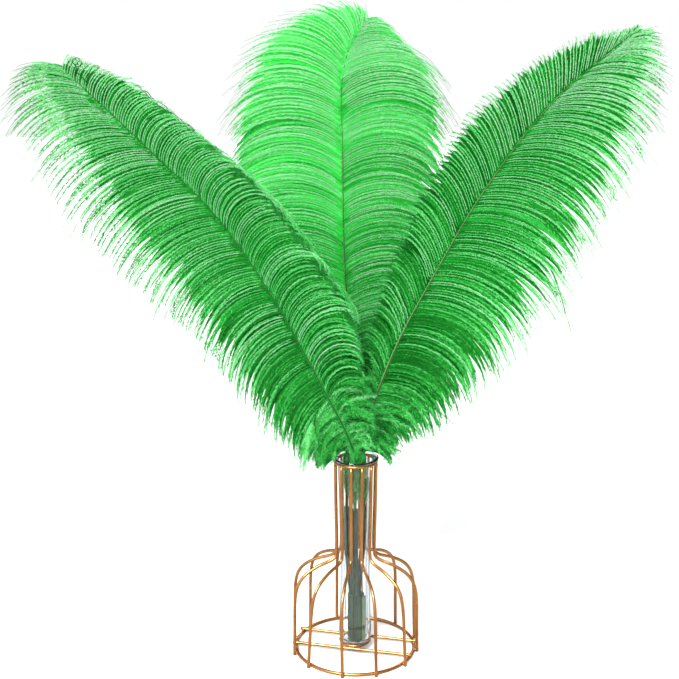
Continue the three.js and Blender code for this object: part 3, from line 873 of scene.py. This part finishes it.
def make_binding(tape):
    """Three stems under one wrap: its radius rises over each stem by the cosine of the angle from it, and it
    has slanting creases and a raised edge to each turn. The end of its tape hangs down the front on the +X
    side, turned so that its pale face shows."""
    rows, steps = 64, 72
    angle = 2 * np.pi * np.arange(steps) / steps
    height = np.linspace(BINDING_FOOT_Z, BINDING_TOP_Z, rows)
    z = height[:, None]
    stems_at = [math.atan2(plume["stem"][0][1], plume["stem"][0][0]) for plume in PLUMES.values()]
    bulge = np.maximum.reduce([np.cos(angle - stem_at) for stem_at in stems_at])
    crease = CREASE * np.sin(angle * CREASES + 0.05 * z) * np.cos(0.11 * z + angle)
    lap = BINDING_LAP[0] * ((z / BINDING_LAP[1] - angle / (2 * np.pi)) % 1.0) ** 4
    body = np.stack([np.full(rows, BINDING_R), height], -1)
    rings = lathed(body, steps, BINDING_BULGE * (bulge - 0.7) + crease + lap)
    points, faces, uv = capped(rings, steps, (0, 0, BINDING_FOOT_Z), (0, 0, BINDING_TOP_Z))
    put("stem_wrap", points + (BINDING_SHIFT, 0, 0), faces, uv, tape, "floral_tape", ["stem_binding"])
    strip = np.linspace((*PALE_STRIP, BINDING_FOOT_Z + 1), (*PALE_STRIP, BINDING_TOP_Z - 1), 40)
    pale = tape_finish("pale_tape", (0.09, 0.19, 0.08), (0.30, 0.42, 0.26), (0.06, 0.26, 0.06))
    tape_end = carried(strip, np.array([0.0, 1, 0]), PALE_STRIP_R, PALE_STRIP_R, 16)
    put("tape_end", *tape_end, pale, "floral_tape", ["stem_binding"])


# ======== Plumes ========


def between(rows, ups):
    """The barb rows' length, first angle and last angle at each place up the vane."""
    rows = np.asarray(rows, float)
    return [np.interp(ups, rows[:, 0], rows[:, k]) for k in (1, 2, 3)]


def barb_lines(plume, side, ups, length, first, last, cup, curl=0.0):
    """Barbs as arcs of circles in the plume's plane that curl at their ends, one row of BARB_STOPS points
    each. With f the first angle, b the bend, c the curl (less near the plume's tip), L its length and v from
    0 to 1, a barb heads f + b v + c v^5 from the shaft, and it leaves the plane by -cup L v^2 / 100."""
    line, square = stem_of(plume)
    s = along(line)
    mouth = np.interp(MOUTH_Z, line[:, 2], s)
    at = mouth + (s[-1] - mouth) * ups
    root, heading = read_line(line, at), heading_at(line, at)
    outward = unit(np.cross(square, heading)) * (-1 if side == "left" else 1)
    v = np.linspace(0, 1, BARB_STOPS)
    middles = (v[1:] + v[:-1]) / 2
    begins, ends = np.radians(first)[:, None], np.radians(last)[:, None]
    fold = math.radians(curl) * np.interp(ups, [0.7, 1], [1, 0.2])[:, None]
    turn = begins + (ends - begins) * middles + fold * middles**5
    size = length[:, None]
    zero = np.zeros((len(ups), 1))
    forward = np.hstack([zero, np.cumsum(np.cos(turn), axis=1)]) * size / (BARB_STOPS - 1)
    sideways = np.hstack([zero, np.cumsum(np.sin(turn), axis=1)]) * size / (BARB_STOPS - 1)
    rise = -cup[:, None] * size * v**2 / 100
    return (root[:, None] + heading[:, None] * forward[..., None] + outward[:, None] * sideways[..., None]
            + square * rise[..., None])


def gathered(lines, rng, size, pull, power):
    """Neighbouring barbs cling together in clumps of size[0] to size[1]: each point moves towards the same
    point of its clump's middle barb by pull * v^power. Gives the lines and each one's clump."""
    n = len(lines)
    ends = np.cumsum(rng.integers(size[0], size[1] + 1, n))
    clump = np.searchsorted(ends, np.arange(n), side="right")
    starts = np.concatenate([[0], ends])
    middle = np.minimum((starts[clump] + np.minimum(ends[clump], n)) // 2, n - 1)
    v = np.linspace(0, 1, lines.shape[1])[None, :, None]
    grip = (pull * rng.uniform(0.6, 1.15, n))[:, None, None]
    return lines + (lines[middle] - lines) * np.minimum(grip * v**power, 0.95), clump


def barb_cores(lines, square, tone, root_r, tip_r):
    """Three-sided tapering quills of the barbs, closed at the tip. In the map their sides lie in the first
    part of their tone's column, CORE_PART."""
    n, stops = lines.shape[:2]
    v = np.linspace(0, 1, stops)
    t = headings(lines)
    a = unit(np.cross(square, t))
    b = unit(np.cross(t, a))
    radius = (root_r + (tip_r - root_r) * v)[None, :, None]
    corners = []
    for angle in (np.pi / 2, np.pi / 2 + 2 * np.pi / 3, np.pi / 2 + 4 * np.pi / 3):
        corners.append(lines + radius * (a * math.cos(angle) + b * math.sin(angle)))
    rings = np.stack(corners, 2)  # barb, stop, corner, xyz
    points = rings.reshape(-1, 3)
    i, r, k = np.meshgrid(np.arange(n), np.arange(stops - 1), np.arange(3), indexing="ij")
    j = (k + 1) % 3
    base = (i * stops + r) * 3
    quads = np.stack([base + k, base + j, base + 3 + j, base + 3 + k], -1).reshape(-1, 4)
    u = (tone[i] + 0.04 + 0.07 * k) / TONES
    uv = quads_in_map(u, u + 0.06 / TONES, v[r], v[r + 1])
    ends = (np.arange(n) * stops + stops - 1)[:, None] * 3 + np.arange(3)
    tips = (0.05, 0.985), (0.20, 0.985), (0.12, 0.998)
    end_uv = in_map(*(((tone + part) / TONES, high) for part, high in tips))
    return points, [quads, ends], [uv, end_uv]


def webs(lines, square, tone, rng, wide, power, tilt, ends):
    """The closed web of each barb: a strip to both sides of it, out to wide * (1 - v^power), where v goes
    from 0 to 1 over the first `ends` of the barb's length. Each strip is turned about its barb by `tilt`
    degrees, give or take 9. In vane() it gets the darker tones of the barbs behind, which are painted shade."""
    n, stops = lines.shape[:2]
    rows = stops - 2
    v = np.linspace(0, 1, rows)
    place = np.clip(v * ends[:, None], 0, 1) * (stops - 1)
    low = np.minimum(place.astype(int), stops - 2)
    part = (place - low)[..., None]
    each = np.arange(n)[:, None]
    middle = lines[each, low] * (1 - part) + lines[each, low + 1] * part
    heading = headings(middle)
    side = unit(np.cross(square, heading))
    lift = np.cross(heading, side)
    lean = np.radians(rng.normal(tilt, 9, (n, 1, 1)))
    way = side * np.cos(lean) + lift * np.sin(lean)
    half = (wide * np.maximum(1 - v**power, 0.01))[None, :, None]
    points = np.stack([middle - way * half, middle + way * half], 2).reshape(-1, 3)
    i, r = np.meshgrid(np.arange(n), np.arange(rows - 1), indexing="ij")
    base = (i * rows + r) * 2
    quads = np.stack([base, base + 1, base + 3, base + 2], -1).reshape(-1, 4)
    u0, u1 = ((tone[i] + part) / TONES for part in WEB_PART)
    return points, [quads], [quads_in_map(u0, u1, v[r] * ends[i], v[r + 1] * ends[i])]


def barbules(lines, square, tone, rng, count, span, reach, angles, tilt, width, fade=0.0):
    """Fine barbules down both sides of each barb, over the part span[0] to span[1] of its length: slivers
    that leave it forwards at `angles`, turned about it by `tilt` degrees out of the plume's plane. reach
    gives their length at the shaft, in the barb's middle and near its tip; fade is the change of tone along
    the barb."""
    n, stops = lines.shape[:2]
    start, end = (np.broadcast_to(part, n) for part in span)
    lengths = np.linalg.norm(np.diff(lines, axis=1), axis=2).sum(1) * (end - start)
    i = np.repeat(np.arange(n), np.maximum((count * lengths / lengths.sum()).astype(int), 4))
    m = len(i)
    v = start[i] + rng.uniform(0.0, 1.0, m) * (end - start)[i]
    place = v * (stops - 1)
    low = np.minimum(place.astype(int), stops - 2)
    part = (place - low)[:, None]
    root = lines[i, low] * (1 - part) + lines[i, low + 1] * part
    heading = unit(lines[i, low + 1] - lines[i, low])
    side = unit(np.cross(square, heading)) * rng.choice([-1.0, 1.0], m)[:, None]
    lift = np.cross(heading, side)
    out = np.radians(rng.uniform(*angles, m))[:, None]
    lean = np.radians(rng.normal(0, tilt, m))[:, None]
    way = heading * np.cos(out) + (side * np.cos(lean) + lift * np.sin(lean)) * np.sin(out)
    shape = np.interp(v, [0, 0.15, 0.55, 1], [0, 1, 2, 3])
    near, half, far = reach
    steps = np.stack([np.broadcast_to(length, n)[i] for length in (near, near, half, far, far)])
    base = shape.astype(int)
    share = shape - base
    long = steps[base, np.arange(m)] * (1 - share) + steps[base + 1, np.arange(m)] * share
    long = (long * rng.uniform(0.6, 1.2, m))[:, None]
    flat = unit(np.cross(way, lift + side * rng.normal(0, 0.6, m)[:, None]))
    half_width = width * 0.5 * rng.uniform(0.7, 1.2, m) * np.interp(v, [0, 0.6, 1], [1, 0.95, 0.6])
    wide = flat * half_width[:, None]
    points = np.stack([root - wide, root + wide, root + way * long], 1).reshape(-1, 3)
    tris = np.arange(3 * m).reshape(-1, 3)
    shade = np.clip(np.round(tone[i] + fade * (v - 0.4) + rng.normal(0, SPECKLE, m)), 0, TONES - 1)
    foot, tip = ((shade + part) / TONES for part in BARBULE_PART)
    return points, [tris], [in_map((foot, v), (foot, v + 0.006), (tip, v + 0.012))]


def slow_change(rng, number, reach, size):
    """Random numbers that change gradually from each to the next: normal ones, each added to its neighbours
    within reach by a raised cosine."""
    return np.convolve(rng.normal(0, size, number + 2 * reach), np.hanning(2 * reach + 1), "valid")


def swayed(lines, square, rng, sway, stray):
    """Each barb waves across its own line by sway * v * sin(a v + b), with a and b its own, and strays from
    its neighbours towards its tip by stray * v^3.5."""
    n, v = len(lines), np.linspace(0, 1, BARB_STOPS)
    across = unit(np.cross(square, headings(lines)))
    wave = rng.normal(0, 1, (n, 1)) * np.sin(v * rng.uniform(3, 9, (n, 1)) + rng.uniform(0, 6, (n, 1)))
    off = wave * v * np.broadcast_to(sway, n)[:, None] + rng.normal(0, stray, (n, 1)) * v**3.5
    return lines + across * off[..., None]


def upper_barbs(plume, side, rng, look):
    """The barbs that lie in front, each a clear strand. They part into points near the vane's edge."""
    square, number, tones = stem_of(plume)[1], look["front"], look["tones"]
    ups = np.clip(np.linspace(0.0, 0.998, number) + rng.normal(0, 0.14 / number, number), 0, 0.999)
    length, first, last = between(plume[side]["barbs"], ups)
    length = length * (1.06 - np.abs(rng.normal(0, look["ragged"], number)))
    length = length * (1 + slow_change(rng, number, 4, 0.012))
    first = first + rng.normal(0, STRAY_FRONT[0], number)
    last = last + rng.normal(0, STRAY_FRONT[1], number) + slow_change(rng, number, 7, 0.5)
    cup = plume[side]["cup"] + rng.normal(0, STRAY_FRONT[2], number) + slow_change(rng, number, 8, 1.0)
    tone = np.interp(ups, *tones) + slow_change(rng, number, 4, 0.6)
    tone = tone + rng.normal(0, 1, number) * np.interp(ups, *PATCHY)
    lines = barb_lines(plume, side, ups, length, first, last, cup, look["curl"])
    lines = swayed(lines, square, rng, np.interp(ups, *SWAY), look["stray"])
    lines, clump = gathered(lines, rng, (3, 7), look["pull"] * np.interp(ups, *CLING), 3.4)
    tone = tone + rng.normal(0, 1.0, clump.max() + 1)[clump]
    clear = clear_of_neck(lines)
    return ups[clear], lines[clear], np.clip(np.round(tone), 0, TONES - 1)[clear]


def under_barbs(plume, side, rng, look):
    """The barbs behind: a little shorter, evenly spread and darker, their tones painted shade, so that they
    close the gaps between the strands in front except near the edge. They lie UNDER_GAP behind, and their
    tips bend further back."""
    square, number, tones = stem_of(plume)[1], look["back"], look["dark"]
    ups = np.linspace(0.0, 0.99, number)
    length, first, last = between(plume[side]["barbs"], ups)
    length = length * rng.uniform(0.92, 1.0, number)
    first = first + rng.normal(0, STRAY_BACK[0], number)
    last = last + rng.normal(0, STRAY_BACK[1], number)
    cup = plume[side]["cup"] - UNDER_BEND + rng.normal(0, STRAY_BACK[2], number)
    lines = barb_lines(plume, side, ups, length, first, last, cup, look["curl"])
    lines = swayed(lines, square, rng, 0.4, look["stray"] * 0.35)
    lines = lines + square * UNDER_GAP * np.clip(np.linspace(0, 1, BARB_STOPS) * 8, 0, 1)[:, None]
    tone = np.interp(ups, *tones) + slow_change(rng, number, 4, 0.5) + rng.normal(0, 1.2, number)
    clear = clear_of_neck(lines)
    return ups[clear], lines[clear], np.clip(np.round(tone), 0, TONES - 1)[clear]


def vane(plume, side, seed, look):
    """One side of a plume from the mouth of the tube to the shaft's tip: barbs in front, barbs and their
    webs behind, and the barbules of both."""
    rng = np.random.default_rng(seed)
    square = stem_of(plume)[1]
    ups, front, tone = upper_barbs(plume, side, rng, look)
    end, fluffy = np.interp(ups, *look["hair"]), np.interp(ups, *FLUFFY)
    bare = np.interp(ups, *look["bare"]) * rng.uniform(0.82, 1.08, len(ups))
    # dark: the tones of the barbs behind, which are painted shade.
    back_ups, back, dark = under_barbs(plume, side, rng, look)
    closed = np.interp(back_ups, *look["closed"])
    back_end = np.interp(back_ups, *look["hair"])
    near, half = look["strand"]
    return joined(
        barb_cores(front, square, tone, BARB_CORE_R, BARB_TIP_R),
        barbules(front, square, tone, rng, look["fine"], span=(0.0, np.minimum(bare, 0.98)),
                 reach=(near * fluffy, half * fluffy, end), angles=(10, 34), tilt=25, width=0.5,
                 fade=look["fade"]),
        barb_cores(back, square, dark, BARB_CORE_R * 0.8, BARB_TIP_R),
        webs(back, square, dark, rng, *look["web"], WEB_TILT, closed),
        barbules(back, square, dark + 3, rng, look["loose"], span=(0.3, np.maximum(closed, 0.94)),
                 reach=(4.0, 5.0, back_end), angles=(20, 50), tilt=25, width=0.6, fade=look["fade"]),
    )


def shaft(plume):
    """The quill and shaft: round below, with a shallow groove up the side that faces out. Above the mouth it
    is deeper than it is wide, so that it shows on both faces of the plume. With u from 0 at the mouth to 1
    at the tip, its radius is the tip's plus the rest of the quill's times (1 - u)^3. The groove is a bell
    curve round the shaft."""
    line, square = stem_of(plume)
    s = along(line)
    stops = np.linspace(0, s[-1], 150)
    mouth = np.interp(MOUTH_Z, line[:, 2], s)
    up = np.clip((stops - mouth) / (s[-1] - mouth), 0, 1)
    path = read_line(line, stops) + square * (SHAFT_BACK * np.clip(up * 3, 0, 1))[:, None]
    radius = (SHAFT_TIP_R + (QUILL_R - SHAFT_TIP_R) * (1 - up) ** 3)[:, None]
    sides = 16
    angle = 2 * np.pi * np.arange(sides) / sides
    groove = np.exp(-((angle - 1.5 * np.pi) / GROOVE[1]) ** 2) * np.clip(up * 6, 0, 1)[:, None]
    radius = radius * (1 - GROOVE[0] * groove)
    depth = (SHAFT_DEPTH * np.clip(up * 3, 0, 1) * (1 - up**4))[:, None]
    return carried(path, square, radius, radius + depth, sides)


def down(plume, seed, low_z, high_z):
    """Soft down on the quill where it leaves the tape: short barbs that lie up the stem inside the tube.
    With v from 0 to 1, one of the length L rises by L (0.8 v + 0.1 v^2) and stands out by
    DOWN_LEAN L sin 1.4 v."""
    rng = np.random.default_rng(seed)
    line, square = stem_of(plume)
    z = rng.uniform(low_z, high_z, DOWN_HAIRS)
    at = np.interp(z, line[:, 2], along(line))
    root, heading = read_line(line, at), heading_at(line, at)
    a = unit(np.cross(square, heading))
    b = unit(np.cross(heading, a))
    turn = rng.uniform(0, 2 * np.pi, DOWN_HAIRS)[:, None]
    out = a * np.cos(turn) + b * np.sin(turn)
    length = rng.uniform(*DOWN_LENGTHS, DOWN_HAIRS)[:, None, None]
    v = np.linspace(0, 1, BARB_STOPS)[None, :, None]
    lines = (root[:, None] + heading[:, None] * length * (0.8 * v + 0.1 * v**2)
             + out[:, None] * length * DOWN_LEAN * np.sin(1.4 * v))
    tone = np.clip(np.round(rng.normal(DOWN_TONE, 2.5, DOWN_HAIRS)), 0, TONES - 1)
    return joined(
        barb_cores(lines, square, tone, BARB_CORE_R * 0.7, BARB_TIP_R * 0.7),
        barbules(lines, square, tone, rng, DOWN_BARBULES, span=(0, 0.97), reach=(3.2, 3.2, 2.4),
                 angles=(20, 55), tilt=60, width=0.5))


def clear_of_neck(lines):
    """Which lines leave the tube's neck open to view: as seen from -Y and a little above, all their points
    are over the lip, or beside it and not far below it."""
    level = lines[..., 2] + LOOK_DOWN * lines[..., 1]
    beside = (np.abs(lines[..., 0]) > NECK_HALF) & (level > HANG_Z)
    return ((level > NECK_CLEAR_Z) | beside).all(1)


def mouth_fluff(plume, seed, middle_tone):
    """Loose fluffy barbs that hang every way out of the lowest part of both vanes."""
    rng = np.random.default_rng(seed)
    square = stem_of(plume)[1]
    shapes = []
    for side in ("left", "right"):
        ups = rng.uniform(0, FLUFF_UP, FLUFF_BARBS)
        length, first, last = between(plume[side]["barbs"], ups)
        length = length * rng.uniform(0.6, 1.12, FLUFF_BARBS)
        first = first + rng.normal(0, STRAY_FLUFF[0], FLUFF_BARBS)
        last = last + rng.normal(0, STRAY_FLUFF[1], FLUFF_BARBS)
        cup = plume[side]["cup"] + rng.normal(0, STRAY_FLUFF[2], FLUFF_BARBS)
        lines = barb_lines(plume, side, ups, length, first, last, cup)
        lines = swayed(lines, square, rng, sway=2.0, stray=3.0)
        tone = np.clip(np.round(middle_tone + rng.normal(0, 4.5, FLUFF_BARBS)), 0, TONES - 1)
        clear = clear_of_neck(lines)
        lines, tone = lines[clear], tone[clear]
        shapes += [
            barb_cores(lines, square, tone, BARB_CORE_R * 0.8, BARB_TIP_R),
            barbules(lines, square, tone, rng, FLUFF_BARBULES, span=(0, 0.97), reach=(4.0, 5.0, 3.5),
                     angles=(25, 65), tilt=50, width=0.5)]
    return joined(*shapes)


def wild_hairs(plume, hairs, radius, tone):
    """Single hairs through given points of the plume's plane, 1.5 mm in front of it: their lines, tones, the
    direction square to them, and their cores."""
    line, square = stem_of(plume)
    level = line[-1] @ square
    lines = []
    for hair in hairs:
        flat = np.array([(x, 0, z) for x, z in hair], float)
        flat[:, 1] = (level - flat[:, 0] * square[0] - flat[:, 2] * square[2]) / square[1] - 1.5
        path = smooth_line(flat, 8)
        lines.append(read_line(path, np.linspace(0, along(path)[-1], 4 * BARB_STOPS)))
    lines, tones = np.array(lines), np.full(len(hairs), float(tone))
    return lines, tones, square, barb_cores(lines, square, tones, radius, radius * 0.8)


def make_plumes():
    """Each plume's shaft, its two vanes, its fluff and its down, and the hairs that stand alone."""
    barbs = dyed_barb_finish()

    def put_soft(name, shape, plume_name):
        """A piece of soft barbs that belongs to one plume."""
        node = [f"feather_{plume_name}"]
        put(name, *shape, barbs, "dyed_plume", node, shade_smooth=False, uv_name="OFBake")

    for i, (name, plume) in enumerate(PLUMES.items()):
        dyed_quill = shaft_finish(f"dyed_quill_{name}", *SHAFT_COLOURS[name])
        put(f"shaft_{name}", *shaft(plume), dyed_quill, "dyed_plume", [f"feather_{name}"])
        for j, side in enumerate(("left", "right")):
            put_soft(f"barbs_{name}_{side}", vane(plume, side, 10 * i + j + 1, VANES[name, side]), name)
        put_soft(f"fluff_{name}", mouth_fluff(plume, 70 + i, FLUFF_TONE[name]), name)
        put_soft(f"down_{name}", down(plume, 50 + i, *DOWN_Z[name]), name)
    put_soft("wisps_left", wild_hairs(PLUMES["left"], WISPS, radius=0.42, tone=0)[-1], "left")
    lines, tones, square, cores = wild_hairs(PLUMES["right"], TUFT, radius=0.34, tone=8)
    fringe = barbules(lines, square, tones, np.random.default_rng(91), 1600, span=(0, 0.9),
                      reach=(3.5, 3.0, 1.6), angles=(15, 45), tilt=40, width=0.4)
    put_soft("tuft_right", joined(cores, fringe), "right")


gold = gold_finish()
make_hoops(gold)
make_uprights(gold)
make_crossbars(gold)
make_tube()
tape = tape_finish("floral_tape", (0.002, 0.010, 0.004), (0.070, 0.140, 0.075), (0.004, 0.085, 0.010))
make_sleeves(tape)
make_binding(tape)
make_plumes()
